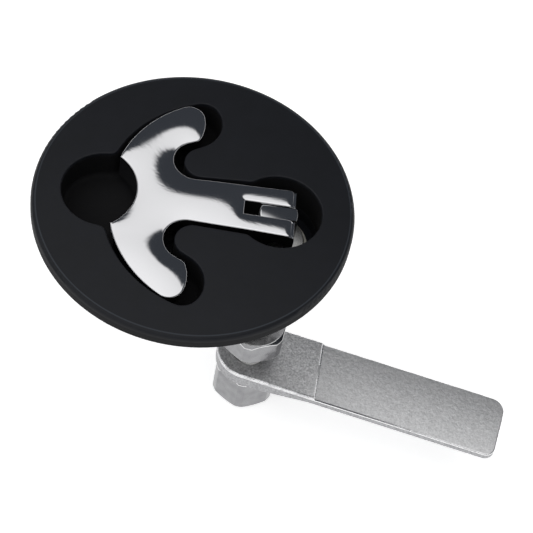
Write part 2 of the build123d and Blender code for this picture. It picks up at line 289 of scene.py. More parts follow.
def grain(material, shader, feature, depth, detail=4.0, under=None):
    """Add bumps of one feature size and depth in metres, and return their pattern."""
    tree = material.node_tree
    place = add_node(tree, "ShaderNodeTexCoord")
    pattern = add_node(
        tree, "ShaderNodeTexNoise", {"Scale": 1 / feature, "Detail": detail, "Roughness": 0.6},
        Vector=place.outputs["Object"],
    )
    links = {"Height": pattern.outputs["Fac"]}
    if under is not None:
        links["Normal"] = under
    bump = add_node(tree, "ShaderNodeBump", {"Strength": 1.0, "Distance": depth}, **links)
    tree.links.new(bump.outputs["Normal"], shader.inputs["Normal"])
    return pattern.outputs["Fac"]


def vary(material, shader, socket, pattern, low, high):
    """Let a pattern move a colour or a value of the shader between two ends."""
    tree = material.node_tree
    if isinstance(low, str):
        mix = add_node(
            tree, "ShaderNodeMix", {"data_type": "RGBA", 6: linear(low), 7: linear(high)},
            _0=pattern,
        )
        tree.links.new(mix.outputs[2], shader.inputs[socket])
    else:
        spread = add_node(
            tree, "ShaderNodeMapRange", {"From Min": 0.3, "From Max": 0.7, "To Min": low, "To Max": high},
            Value=pattern,
        )
        tree.links.new(spread.outputs["Result"], shader.inputs[socket])


COAT_GRAIN = 0.22 * MM
COAT_DEPTH = 0.006 * MM
COAT_CLOUDS = 6.0 * MM
FACE_CROWN_RADIUS = 330 * MM
POCKET_REACH = 34.3 * MM
POCKET_MARGIN = 0.5 * MM
SIDE_SHADE_AND_DULLNESS = 0.8
HIGHLIGHT_LINE_RADIUS = 39.15 * MM
HIGHLIGHT_LINE_WIDTH = 0.35 * MM
POCKET_LOWEST = -6.5 * MM
# Depths below the face where the painted shade and the dullness begin and become full
DULL_SHADE_START_DEPTH = 0.3 * MM
DULL_SHADE_FULL_DEPTH = 1.6 * MM
housing = finished_copy("housing", "housing", HOUSING_SMOOTH_ANGLE)

# The flange's upper edge is rounded more fully than the CAD's, as the photo shows it
FLANGE_RADIUS = 40.3 * MM
CAD_ROUND = 0.8 * MM
FULLER_ROUND = 1.2 * MM
ROUND_TOLERANCE = 0.01
for vertex in housing.data.vertices:
    reach = math.hypot(vertex.co.x, vertex.co.y)
    out = (reach - (FLANGE_RADIUS - CAD_ROUND)) / CAD_ROUND
    up = (vertex.co.z - (FLANGE_THICKNESS - CAD_ROUND)) / CAD_ROUND
    if out > -ROUND_TOLERANCE and up > -ROUND_TOLERANCE:
        new_reach = FLANGE_RADIUS - FULLER_ROUND + FULLER_ROUND * out
        vertex.co.x *= new_reach / reach
        vertex.co.y *= new_reach / reach
        vertex.co.z = FLANGE_THICKNESS - FULLER_ROUND + FULLER_ROUND * up
soften(housing, HOUSING_SMOOTH_ANGLE)
COAT_SPECULAR = 0.22
coat, shader = surface_material("black_powder_coat", "#171A20", 0, 0.46)
shader.inputs["Specular IOR Level"].default_value = COAT_SPECULAR
tree = coat.node_tree
place = add_node(tree, "ShaderNodeTexCoord")
from_axis = add_node(tree, "ShaderNodeMapping", {"Scale": (1, 1, 0)}, Vector=place.outputs["Object"])
radius_squared = add_node(
    tree, "ShaderNodeVectorMath", {"operation": "DOT_PRODUCT"},
    _0=from_axis.outputs["Vector"], _1=from_axis.outputs["Vector"],
)
crowned = add_node(
    tree, "ShaderNodeBump", {"invert": True, "Strength": 1.0, "Distance": 1 / (2 * FACE_CROWN_RADIUS)},
    Height=radius_squared.outputs["Value"],
)
fine = grain(coat, shader, COAT_GRAIN, COAT_DEPTH, under=crowned.outputs["Normal"])
height = add_node(tree, "ShaderNodeSeparateXYZ", None, Vector=place.outputs["Object"])
# Painted shade: inside the pocket's reach and on the flange's side below the face the colour is painted
# darker, and the same mask makes the coat rougher
dull_shade_by_reach = add_node(
    tree, "ShaderNodeMapRange",
    {
        "From Min": POCKET_REACH**2, "From Max": (POCKET_REACH + POCKET_MARGIN)**2,
        "To Min": 1.0, "To Max": SIDE_SHADE_AND_DULLNESS,
    },
    Value=radius_squared.outputs["Value"],
)
above = add_node(
    tree, "ShaderNodeMath", {"operation": "GREATER_THAN", 1: POCKET_LOWEST},
    _0=height.outputs["Z"],
)
dull_shade_in_reach = add_node(
    tree, "ShaderNodeMath", {"operation": "MULTIPLY"},
    _0=dull_shade_by_reach.outputs["Result"], _1=above.outputs[0],
)
deep = add_node(
    tree, "ShaderNodeMapRange",
    {"From Min": FLANGE_THICKNESS - DULL_SHADE_START_DEPTH, "From Max": FLANGE_THICKNESS - DULL_SHADE_FULL_DEPTH},
    Value=height.outputs["Z"],
)
dullness_and_painted_shade = add_node(
    tree, "ShaderNodeMath", {"operation": "MULTIPLY"},
    _0=dull_shade_in_reach.outputs[0], _1=deep.outputs["Result"],
)
clouds = add_node(
    tree, "ShaderNodeTexNoise", {"Scale": 1 / COAT_CLOUDS, "Detail": 3.0},
    Vector=place.outputs["Object"],
)
unshaded_coat_colour = add_node(
    tree, "ShaderNodeMix", {"data_type": "RGBA", 6: linear("#131519"), 7: linear("#191B21")},
    _0=clouds.outputs["Fac"],
)
# Painted highlight: a thin lighter ring of colour at the start of the flange's rounded edge
painted_highlight_line = add_node(
    tree, "ShaderNodeMath",
    {"operation": "COMPARE", 1: HIGHLIGHT_LINE_RADIUS**2, 2: HIGHLIGHT_LINE_RADIUS * HIGHLIGHT_LINE_WIDTH},
    _0=radius_squared.outputs["Value"],
)
highlighted_coat_colour = add_node(
    tree, "ShaderNodeMix", {"data_type": "RGBA", 7: linear("#30343A")},
    _0=painted_highlight_line.outputs[0], _6=unshaded_coat_colour.outputs[2],
)
coat_colour = add_node(
    tree, "ShaderNodeMix", {"data_type": "RGBA", 7: linear("#0B0B0D")},
    _0=dullness_and_painted_shade.outputs[0], _6=highlighted_coat_colour.outputs[2],
)
tree.links.new(coat_colour.outputs[2], shader.inputs["Base Color"])
rubbed_roughness = add_node(
    tree, "ShaderNodeMapRange", {"From Min": 0.3, "From Max": 0.7, "To Min": 0.40, "To Max": 0.52},
    Value=fine,
)
coat_roughness = add_node(
    tree, "ShaderNodeMix", {3: 0.85},
    _0=dullness_and_painted_shade.outputs[0], _2=rubbed_roughness.outputs["Result"],
)
tree.links.new(coat_roughness.outputs[0], shader.inputs["Roughness"])
housing.data.materials.append(coat)

# Rings of black rubber: the gasket in the flange's rear and two seals on the shaft. They are
# moulded, dull, and a little dusty.
RUBBER_GRAIN = 0.4 * MM
RUBBER_DEPTH = 0.01 * MM
RING_SMOOTH_ANGLE = math.radians(35)
rubber, shader = surface_material("black_rubber", "#0F0F10", 0, 0.62)
fine = grain(rubber, shader, RUBBER_GRAIN, RUBBER_DEPTH)
vary(rubber, shader, "Base Color", fine, "#0C0C0D", "#161617")
rubber_rings = (("flange_gasket", "housing"), ("upper_shaft_seal", "shaft"), ("lower_shaft_seal", "shaft"))
for ring_name, body in rubber_rings:
    ring = finished_copy(ring_name, body, RING_SMOOTH_ANGLE)
    ring.data.materials.append(rubber)

# Bush: the shaft's flanged guide, turned from off-white acetal and pressed into the neck.
# Fine rings from the turning tool run round it. A wave texture repeats about every 0.3 m at scale 1.
SHAFT_OFFSET = 21.2 * MM
TURNING_PITCH = 0.12 * MM
TURNING_DEPTH = 0.004 * MM
WAVE_PERIOD = 0.3


def turning_marks(material, shader):
    """Fine rings round the shaft's axis, as a lathe leaves them on a flat face or a side."""
    tree = material.node_tree
    place = add_node(tree, "ShaderNodeTexCoord")
    centred = add_node(
        tree, "ShaderNodeMapping", {"Location": (-SHAFT_OFFSET, 0, 0)},
        Vector=place.outputs["Object"],
    )
    rings = add_node(
        tree, "ShaderNodeTexWave",
        {
            "wave_type": "RINGS", "rings_direction": "SPHERICAL",
            "Scale": WAVE_PERIOD / TURNING_PITCH, "Distortion": 1.5, "Detail": 3.0,
        },
        Vector=centred.outputs["Vector"],
    )
    bump = add_node(
        tree, "ShaderNodeBump", {"Strength": 0.6, "Distance": TURNING_DEPTH},
        Height=rings.outputs["Fac"],
    )
    tree.links.new(bump.outputs["Normal"], shader.inputs["Normal"])
    return rings.outputs["Fac"]


acetal, shader = surface_material("off_white_acetal", "#CBC9C0", 0, 0.42)
marks = turning_marks(acetal, shader)
vary(acetal, shader, "Base Color", marks, "#C4C2B8", "#D2D0C8")
bush = finished_copy("shaft_bush", "housing", RING_SMOOTH_ANGLE)
bush.data.materials.append(acetal)

# Handle: one zinc casting with two curved arms, a stem and a forked end, buffed until its top is
# a soft pillow with rounded edges, then chromium plated. Sizes here are in millimetres.
CONCAVE_END_OFFSET = 27.1
CONCAVE_END_RADIUS = 12.6
HANDLE_CORNER = (-19.9, 10.0)
HANDLE_HEADING = 75.8
OUTLINE_ARCS = ((30.4, -45.7), (3.9, -103.6), (11.3, -37.6), (1.8, -43.8))
TIP_FLAT = 2.1
BITE_ARC = (5.8, 156.9)
FORK_END = 25.41
SLOT_HALF_WIDTH = 2.05
SLOT_END = 12.5
OUTLINE_SPACING = 0.35


def heading_vector(heading):
    """The unit vector at a heading in degrees."""
    return Vector((math.cos(math.radians(heading)), math.sin(math.radians(heading))))


def arc_points(start, heading, radius, turn):
    """Points along an arc after its start, and the heading at its end."""
    side = math.copysign(90, turn)
    centre = start + radius * heading_vector(heading + side)
    count = math.ceil(radius * math.radians(abs(turn)) / OUTLINE_SPACING)
    spoke = start - centre
    points = []
    for step in range(1, count + 1):
        points.append(centre + Matrix.Rotation(math.radians(turn * step / count), 2) @ spoke)
    return points, heading + turn


def straight_points(start, end):
    """Evenly spaced points along a straight line after its start."""
    count = math.ceil((end - start).length / OUTLINE_SPACING)
    return [start.lerp(end, step / count) for step in range(1, count + 1)]


def handle_half():
    """The half outline at positive Y, from the head's concave end to the slot's far end."""
    line = [Vector(HANDLE_CORNER)]
    heading = HANDLE_HEADING
    for radius, turn in OUTLINE_ARCS:
        more, heading = arc_points(line[-1], heading, radius, turn)
        line += more
    flat_end = line[-1] + TIP_FLAT * heading_vector(heading)
    line += straight_points(line[-1], flat_end)
    more, heading = arc_points(line[-1], heading, *BITE_ARC)
    line += more
    fork_half_width = line[-1].y + math.tan(math.radians(heading)) * (FORK_END - line[-1].x)
    line += straight_points(line[-1], Vector((FORK_END, fork_half_width)))
    line += straight_points(line[-1], Vector((FORK_END, SLOT_HALF_WIDTH)))
    line += straight_points(line[-1], Vector((SLOT_END, SLOT_HALF_WIDTH)))
    concave_centre = Vector((-CONCAVE_END_OFFSET, 0))
    while (line[1] - concave_centre).length < CONCAVE_END_RADIUS:
        line.pop(0)
    inside = (line[0] - concave_centre).length
    outside = (line[1] - concave_centre).length
    line[0] = line[0].lerp(line[1], (CONCAVE_END_RADIUS - inside) / (outside - inside))
    return line


upper_half = handle_half()
lower_half = [Vector((point.x, -point.y)) for point in reversed(upper_half)]
slot_back = straight_points(upper_half[-1], lower_half[0])[:-1]
concave_start = math.atan2(upper_half[0].y, upper_half[0].x + CONCAVE_END_OFFSET)
concave_count = math.ceil(2 * concave_start * CONCAVE_END_RADIUS / OUTLINE_SPACING)
concave = []
for step in range(1, concave_count):
    angle = -concave_start + 2 * concave_start * step / concave_count
    x = math.cos(angle) * CONCAVE_END_RADIUS - CONCAVE_END_OFFSET
    concave.append(Vector((x, math.sin(angle) * CONCAVE_END_RADIUS)))
handle_line = upper_half + slot_back + lower_half + concave

# The outline's inward direction at each point, long enough at a corner to keep both sides' distance
inward = []
for here in range(len(handle_line)):
    before = (handle_line[here] - handle_line[here - 1]).normalized()
    after = (handle_line[(here + 1) % len(handle_line)] - handle_line[here]).normalized()
    first = Vector((before.y, -before.x))
    second = Vector((after.y, -after.x))
    inward.append((first + second) / (1 + first.dot(second)))

# The pillow: a mesh of fine triangles over the top, whose height answers a pressure from below with
# its rim held down, as a soap film does, so it has no creases to spoil reflections. The concave end
# is held higher and the lobes are fuller. These rises, and the slight tilts of the fork and of the
# lower lobe alone, were tuned to the reflections in the photo, so the two sides differ a little.
FACE_HEIGHT = 3.6
EDGE_ROUND = 0.45
EDGE_STEPS = 5
PILLOW_SPACING = 0.4
PILLOW_RISE = 0.029
CONCAVE_END_FILM = 8.0
TIP_FULLNESS = 0.9
TIP_FULLNESS_START = 13.0
TIP_FULLNESS_RUN = 9.0
RIM_HEIGHT = 0.45
CROWN_START = -10.0
LENGTH_CROWN_RADIUS = 900.0
WIDTH_CROWN_RADIUS = 4000.0
FORK_FALL_RUN = 2.0
FORK_FALL = 1.15
FORK_TILT = 0.026
FORK_TILT_START = 5.0
FORK_TILT_RUN = 9.0
LOBE_TILT = 0.034
LOBE_TILT_START = 12.0
LOBE_TILT_RUN = 8.0
LOBE_MIDDLE = -8.0
GRID_HEAD_REACH = 30.0
GRID_HALF_WIDTH = 31.0
GRID_COLUMNS_PAST_SLOT = 40
RIM_CLEARANCE = 0.6 * PILLOW_SPACING
rim = [point + EDGE_ROUND * direction for point, direction in zip(handle_line, inward)]
grid = []
columns = math.ceil((FORK_END + GRID_HEAD_REACH) / PILLOW_SPACING)
rows = math.ceil(2 * GRID_HALF_WIDTH / PILLOW_SPACING)
for column in range(-columns, GRID_COLUMNS_PAST_SLOT):
    for row in range(rows):
        x = SLOT_END + column * PILLOW_SPACING
        y = -GRID_HALF_WIDTH + (row + 0.5 * (column % 2)) * PILLOW_SPACING
        grid.append(Vector((x, y)))
rim_array = np.array([tuple(point) for point in rim])
rim_next = np.roll(rim_array, -1, axis=0)
grid_array = np.array([tuple(point) for point in grid])


def inside_and_clear(points, clearance):
    """Which points lie inside the rim and at least a clearance from it."""
    run = rim_next - rim_array
    length = (run**2).sum(1)
    keep = np.zeros(len(points), bool)
    for index, point in enumerate(points):
        away = point - rim_array
        along = np.clip((away * run).sum(1) / length, 0, 1)
        nearest = np.sqrt(((away - along[:, None] * run)**2).sum(1)).min()
        crosses = (rim_array[:, 1] > point[1]) != (rim_next[:, 1] > point[1])
        rise = np.where(run[:, 1] == 0, 1, run[:, 1])
        reach = rim_array[:, 0] + (point[1] - rim_array[:, 1]) / rise * run[:, 0]
        keep[index] = nearest > clearance and (crosses & (point[0] < reach)).sum() % 2 == 1
    return keep


grid_array = grid_array[inside_and_clear(grid_array, RIM_CLEARANCE)]
flat_points = rim + [Vector(point) for point in grid_array]
rim_edges = [(index, (index + 1) % len(rim)) for index in range(len(rim))]
points, _, faces, _, _, _ = delaunay_2d_cdt(flat_points, rim_edges, [], 1, 1e-6)
faces = [face for face in faces if len(face) == 3]
flat = np.array([tuple(point) for point in points])
triangles = np.array(faces)
held = np.zeros(len(flat), bool)
held[:len(rim)] = True
first_raised = len(rim) - len(concave)
from_middle = flat[first_raised:len(rim), 1] / HANDLE_CORNER[1]
corner = flat[triangles]
doubled_area = np.cross(corner[:, 1] - corner[:, 0], corner[:, 2] - corner[:, 0])
load = np.bincount(triangles.ravel(), np.repeat(np.abs(doubled_area) / 6, 3), len(flat))
load *= 1 + TIP_FULLNESS * np.clip((np.abs(flat[:, 1]) - TIP_FULLNESS_START) / TIP_FULLNESS_RUN, 0, 1)
tails, heads, stiffness = [], [], []
for apex in range(3):
    one = triangles[:, (apex + 1) % 3]
    other = triangles[:, (apex + 2) % 3]
    to_one = flat[one] - flat[triangles[:, apex]]
    to_other = flat[other] - flat[triangles[:, apex]]
    pull = 0.5 * (to_one * to_other).sum(1) / np.abs(doubled_area)
    tails += [one, other]
    heads += [other, one]
    stiffness += [pull, pull]
tails = np.concatenate(tails)
heads = np.concatenate(heads)
stiffness = np.concatenate(stiffness)
whole = np.bincount(tails, stiffness, len(flat))


def push_back(height):
    """The film's resistance to a height, zero on its held rim."""
    answer = whole * height - np.bincount(tails, stiffness * height[heads], len(flat))
    answer[held] = 0
    return answer


FILM_ROUNDS = 900
FILM_PRECISION = 1e-14
film = np.zeros(len(flat))
film[first_raised:len(rim)] = CONCAVE_END_FILM * np.clip(1 - from_middle**2, 0, 1)
left_over = np.where(held, 0, load - push_back(film))
step_way = left_over.copy()
size = left_over @ left_over
for _ in range(FILM_ROUNDS):
    resisted = push_back(step_way)
    share = size / (step_way @ resisted)
    film += share * step_way
    left_over -= share * resisted
    new_size = left_over @ left_over
    if new_size < FILM_PRECISION:
        break
    step_way = left_over + new_size / size * step_way
    size = new_size


def rounded_top(place, film_height):
    """Height of the handle's top at a place, from its crown, its pillow and its sloping ends."""
    along = (place[0] - CROWN_START)**2 / (2 * LENGTH_CROWN_RADIUS)
    crown = RIM_HEIGHT - along - place[1]**2 / (2 * WIDTH_CROWN_RADIUS)
    pillow = PILLOW_RISE * film_height
    past = max(0.0, place[0] - (FORK_END - FORK_FALL_RUN)) / FORK_FALL_RUN
    share = min(1.0, max(0.0, (place[0] - FORK_TILT_START) / FORK_TILT_RUN))
    tilt = FORK_TILT * share**2 * (3 - 2 * share) * place[1]
    share = min(1.0, max(0.0, (-place[1] - LOBE_TILT_START) / LOBE_TILT_RUN))
    tilt += LOBE_TILT * share**2 * (3 - 2 * share) * (place[0] - LOBE_MIDDLE)
    return FACE_HEIGHT + crown + pillow - tilt - FORK_FALL * past**2


# The underside: flat below the head, then a slope to the heels, whose curve, a circle's involute,
# lets the shaft drop as the handle lifts
HEAD_BOTTOM = -4.0
PIVOT = (21.2, -2.0)
HEEL_SLOPE = ((12.5, HEAD_BOTTOM), (16.5, -8.36))
HEEL_HEIGHT = 6.36
HEEL_FALL = 1.3687
HEEL_STEPS = 24
PAST_THE_HEAD = -40.0
underside = [(PAST_THE_HEAD, HEAD_BOTTOM)] + list(HEEL_SLOPE)
for step in range(HEEL_STEPS + 1):
    lift = math.pi / 2 * step / HEEL_STEPS
    reach = HEEL_HEIGHT - HEEL_FALL * lift
    x = PIVOT[0] + reach * math.sin(lift) - HEEL_FALL * math.cos(lift)
    z = PIVOT[1] - reach * math.cos(lift) - HEEL_FALL * math.sin(lift)
    underside.append((x, z))
under_x = [point[0] for point in underside]
under_z = [point[1] for point in underside]

vertices = []
for index, place in enumerate(flat):
    vertices.append((place[0], place[1], rounded_top(place, film[index])))
handle_faces = [tuple(int(number) for number in face) for face in triangles]
ring_start = 0
count = len(rim)
for step in range(EDGE_STEPS - 1, -1, -1):
    turn = math.pi / 2 * step / EDGE_STEPS
    next_start = len(vertices)
    for index in range(count):
        place = handle_line[index] + EDGE_ROUND * (1 - math.cos(turn)) * inward[index]
        height = rounded_top(rim[index], film[index]) - EDGE_ROUND * (1 - math.sin(turn))
        vertices.append((place.x, place.y, height))
    for index in range(count):
        after = (index + 1) % count
        handle_faces.append((ring_start + index, ring_start + after, next_start + after, next_start + index))
    ring_start = next_start
bottom_start = len(vertices)
for index in range(count):
    place = handle_line[index]
    vertices.append((place.x, place.y, float(np.interp(place.x, under_x, under_z))))
for index in range(count):
    after = (index + 1) % count
    handle_faces.append((ring_start + index, ring_start + after, bottom_start + after, bottom_start + index))
inner_start = len(vertices)
for place in flat[count:]:
    vertices.append((place[0], place[1], float(np.interp(place[0], under_x, under_z))))
for face in triangles:
    lower = [int(number) + (bottom_start if number < count else inner_start - count) for number in face]
    handle_faces.append(tuple(reversed(lower)))
shape = bpy.data.meshes.new("handle_polished")
shape.from_pydata([tuple(MM * value for value in point) for point in vertices], [], handle_faces)
handle = bpy.data.objects.new("handle_polished", shape)
bpy.context.collection.objects.link(handle)

# The bore for the cross pin, right through both prongs
PIN_RADIUS = 2.0
BORE_LENGTH = 30.0
plain_selection()
bpy.ops.mesh.primitive_cylinder_add(
    vertices=64, radius=PIN_RADIUS * MM, depth=BORE_LENGTH * MM,
    location=(PIVOT[0] * MM, 0, PIVOT[1] * MM), rotation=(math.pi / 2, 0, 0),
)
bore = bpy.context.object
pick(handle)
bpy.ops.object.mode_set(mode="EDIT")
bpy.ops.mesh.select_all(action="SELECT")
bpy.ops.mesh.normals_make_consistent(inside=False)
plain_selection()
pick(handle)
bpy.ops.object.modifier_add(type="BOOLEAN")
handle.modifiers[-1].operation = "DIFFERENCE"
handle.modifiers[-1].object = bore
bpy.ops.object.modifier_apply(modifier=handle.modifiers[-1].name)
bpy.data.objects.remove(bore)
HANDLE_SMOOTH_ANGLE = math.radians(38)
soften(handle, HANDLE_SMOOTH_ANGLE)
BUFFING_WAVE = 5.0 * MM
BUFFING_DEPTH = 0.014 * MM
BUFFING_STREAK = 1.3 * MM
STREAK_DEPTH = 0.009 * MM
STREAK_STRETCH = 0.3
STREAK_RADIUS = 20 * MM
BUFFING_SCRATCH = 0.15 * MM
chrome, shader = surface_material("polished_chromium", "#DCDCDE", 1, 0.05)
tree = chrome.node_tree
place = add_node(tree, "ShaderNodeTexCoord")
stretched = add_node(tree, "ShaderNodeMapping", {"Scale": (0.35, 1.0, 0.6)}, Vector=place.outputs["Object"])
waves = add_node(
    tree, "ShaderNodeTexNoise", {"Scale": 1 / BUFFING_WAVE, "Detail": 2.5},
    Vector=stretched.outputs["Vector"],
)
first_bump = add_node(
    tree, "ShaderNodeBump", {"Strength": 1.0, "Distance": BUFFING_DEPTH},
    Height=waves.outputs["Fac"],
)
outward = add_node(tree, "ShaderNodeVectorMath", {"operation": "NORMALIZE"}, Vector=place.outputs["Object"])
streak_place = add_node(
    tree, "ShaderNodeVectorMath", {"operation": "SCALE", "Scale": STREAK_RADIUS / STREAK_STRETCH},
    Vector=outward.outputs["Vector"],
)
streak_place = add_node(
    tree, "ShaderNodeVectorMath", {"operation": "ADD"},
    _0=streak_place.outputs["Vector"], _1=place.outputs["Object"],
)
streaks = add_node(
    tree, "ShaderNodeTexNoise", {"Scale": STREAK_STRETCH / BUFFING_STREAK, "Detail": 3.0},
    Vector=streak_place.outputs["Vector"],
)
streak_bump = add_node(
    tree, "ShaderNodeBump", {"Strength": 1.0, "Distance": STREAK_DEPTH},
    Height=streaks.outputs["Fac"], Normal=first_bump.outputs["Normal"],
)
along = add_node(tree, "ShaderNodeMapping", {"Scale": (0.08, 1.0, 1.0)}, Vector=place.outputs["Object"])
scratches = add_node(
    tree, "ShaderNodeTexNoise", {"Scale": 1 / BUFFING_SCRATCH, "Detail": 3.0},
    Vector=along.outputs["Vector"],
)
vary(chrome, shader, "Roughness", scratches.outputs["Fac"], 0.045, 0.085)
tree.links.new(streak_bump.outputs["Normal"], shader.inputs["Normal"])
handle.data.materials.append(chrome)

# Inside the slot the casting was never buffed, so the plating there is dull, and its colour is painted
# dark as painted shade between the prongs
SLOT_BUFFED_DEPTH = 0.5
SLOT_TOLERANCE = 0.01
SLOT_GRAIN = 0.3 * MM
SLOT_GRAIN_DEPTH = 0.02 * MM
slot_dull_shaded_plating, shader = surface_material("dull_plating_painted_shade", "#2E2E30", 1, 0.55)
fine = grain(slot_dull_shaded_plating, shader, SLOT_GRAIN, SLOT_GRAIN_DEPTH)
vary(slot_dull_shaded_plating, shader, "Base Color", fine, "#28282A", "#38383A")
handle.data.materials.append(slot_dull_shaded_plating)
for polygon in handle.data.polygons:
    x, y, z = polygon.center / MM
    in_slot = abs(y) < SLOT_HALF_WIDTH + SLOT_TOLERANCE and x > SLOT_END - SLOT_TOLERANCE
    if in_slot and z < FACE_HEIGHT - SLOT_BUFFED_DEPTH:
        polygon.material_index = 1
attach(handle, "handle")
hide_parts("handle")

# Steel round the shaft: the shaft with its flat tongue, the cross pin, the slotted washer under
# the heels, the stop washer and the spring ring are turned or stamped and left bright.
TURNED_SMOOTH_ANGLE = math.radians(32)
steel, shader = surface_material("turned_steel", "#B2B2B1", 1, 0.3)
marks = turning_marks(steel, shader)
vary(steel, shader, "Roughness", marks, 0.22, 0.36)
turned_pieces = (
    ("shaft", "shaft"),
    ("handle_cross_pin", "handle"),
    ("thrust_washer", "turning_washer"),
    ("stop_washer", "shaft"),
    ("retaining_ring", "shaft"),
)
for piece_name, body in turned_pieces:
    piece = finished_copy(piece_name, body, TURNED_SMOOTH_ANGLE)
    piece.data.materials.append(steel)

# The shaft's lower end carries a rolled M10 thread: a core, and one ridge that winds round it
THREAD_TOP = -33.0 * MM
SHAFT_BOTTOM = -84.0 * MM
THREAD_RUNOUT = 1.0 * MM
THREAD_PITCH = 1.5 * MM
THREAD_TURNS = 34
THREAD_STEPS = 40
CORE_RADIUS = 4.12 * MM
CORE_END_ROUND = 0.4 * MM
RIDGE = ((4.0, 0.05), (4.96, 0.65), (4.96, 0.85), (4.0, 1.45))
shaft = bpy.data.objects["shaft_finished"]
pick(shaft)
bpy.ops.object.mode_set(mode="EDIT")
bpy.ops.mesh.select_all(action="SELECT")
bpy.ops.mesh.bisect(plane_co=(0, 0, THREAD_TOP), plane_no=(0, 0, 1), use_fill=True, clear_inner=True)
plain_selection()
core_length = THREAD_TOP - SHAFT_BOTTOM
bpy.ops.mesh.primitive_cylinder_add(
    vertices=64, radius=CORE_RADIUS, depth=core_length,
    location=(SHAFT_OFFSET, 0, SHAFT_BOTTOM + core_length / 2),
)
core = bpy.context.object
bpy.ops.object.transform_apply(location=True)
bpy.ops.object.mode_set(mode="EDIT")
bpy.ops.mesh.bevel(offset=CORE_END_ROUND, segments=2)
plain_selection()
ridge_line = bpy.data.meshes.new("thread_ridge")
ridge_points = [(radius * MM, 0, height * MM) for radius, height in RIDGE]
ridge_line.from_pydata(ridge_points, [(0, 1), (1, 2), (2, 3), (3, 0)], [])
ridge = bpy.data.objects.new("thread_ridge", ridge_line)
bpy.context.collection.objects.link(ridge)
pick(ridge)
bpy.ops.object.modifier_add(type="SCREW")
winding = ridge.modifiers[-1]
winding.screw_offset = THREAD_PITCH
winding.iterations = THREAD_TURNS
winding.steps = THREAD_STEPS
winding.render_steps = THREAD_STEPS
bpy.ops.object.modifier_apply(modifier=winding.name)
ridge.location = (SHAFT_OFFSET, 0, SHAFT_BOTTOM + THREAD_RUNOUT)
bpy.ops.object.transform_apply(location=True)
bpy.ops.object.mode_set(mode="EDIT")
bpy.ops.mesh.select_all(action="SELECT")
bpy.ops.mesh.remove_doubles(threshold=MERGE_DISTANCE)
bpy.ops.mesh.fill_holes(sides=4)
bpy.ops.mesh.select_all(action="SELECT")
bpy.ops.mesh.normals_make_consistent(inside=False)
plain_selection()
for part in (core, ridge, shaft):
    part.select_set(True)
bpy.context.view_layer.objects.active = shaft
bpy.ops.object.join()
soften(shaft, TURNED_SMOOTH_ANGLE)
shaft.data.materials.clear()
shaft.data.materials.append(steel)

# The tongue's end shows between the prongs: it is buffed bright with a slight crown.
TONGUE_CROWN_RADIUS = 70 * MM
TONGUE_CROWN_CENTRE = (17.2 * MM, -2.2 * MM, 0)
TONGUE_POLISH_BOTTOM = 1.5 * MM
tongue_polish, shader = surface_material("buffed_steel", "#D6D6D8", 1, 0.07)
tree = tongue_polish.node_tree
place = add_node(tree, "ShaderNodeTexCoord")
from_crown = add_node(
    tree, "ShaderNodeMapping",
    {"vector_type": "TEXTURE", "Location": TONGUE_CROWN_CENTRE}, Vector=place.outputs["Object"],
)
level = add_node(tree, "ShaderNodeMapping", {"Scale": (1, 1, 0)}, Vector=from_crown.outputs["Vector"])
squared = add_node(
    tree, "ShaderNodeVectorMath", {"operation": "DOT_PRODUCT"},
    _0=level.outputs["Vector"], _1=level.outputs["Vector"],
)
crown = add_node(
    tree, "ShaderNodeBump", {"invert": True, "Strength": 1.0, "Distance": 1 / (2 * TONGUE_CROWN_RADIUS)},
    Height=squared.outputs["Value"],
)
tree.links.new(crown.outputs["Normal"], shader.inputs["Normal"])
shaft.data.materials.append(tongue_polish)
for polygon in shaft.data.polygons:
    polygon.material_index = 1 if polygon.center.z > TONGUE_POLISH_BOTTOM else 0

# Nuts: hexagon bar turned round at both faces and nickel plated, so the flats shine softly. The rounded
# edges where the chamfers meet the flats get a rougher, much brighter material: a painted highlight, a
# bright line.
NUT_SMOOTH_ANGLE = math.radians(13)
NUT_EDGE_ANGLE = math.radians(30)
NUT_EDGE_ROUND = 0.2 * MM
SCUFF_SIZE = 3.0 * MM
SCUFF_DEPTH = 0.06 * MM
nickel, shader = surface_material("nickel_plated_steel", "#98989A", 1, 0.2)
scuffs = grain(nickel, shader, SCUFF_SIZE, SCUFF_DEPTH, detail=1.0)
vary(nickel, shader, "Base Color", scuffs, "#7E7E80", "#A2A2A4")
vary(nickel, shader, "Roughness", scuffs, 0.14, 0.24)
# Painted highlight: the rounded edges get this much brighter colour
nickel_edge_painted_highlight, shader = surface_material("nickel_edges_painted_highlight", "#F0F0F0", 1, 0.45)
scuffs = grain(nickel_edge_painted_highlight, shader, SCUFF_SIZE, SCUFF_DEPTH, detail=1.0)
vary(nickel_edge_painted_highlight, shader, "Base Color", scuffs, "#DCDCDC", "#FAFAFA")
for nut_name in ("upper_nut", "lower_nut"):
    nut = finished_copy(nut_name, "shaft", NUT_SMOOTH_ANGLE)
    nut.data.materials.append(nickel)
    nut.data.materials.append(nickel_edge_painted_highlight)
    pick(nut)
    bpy.ops.object.modifier_add(type="BEVEL")
    rounding = nut.modifiers[-1]
    rounding.material = 1
    rounding.width = NUT_EDGE_ROUND
    rounding.segments = 2
    rounding.limit_method = "ANGLE"
    rounding.angle_limit = NUT_EDGE_ANGLE
    bpy.ops.object.modifier_apply(modifier=rounding.name)
    soften(nut, NUT_SMOOTH_ANGLE)

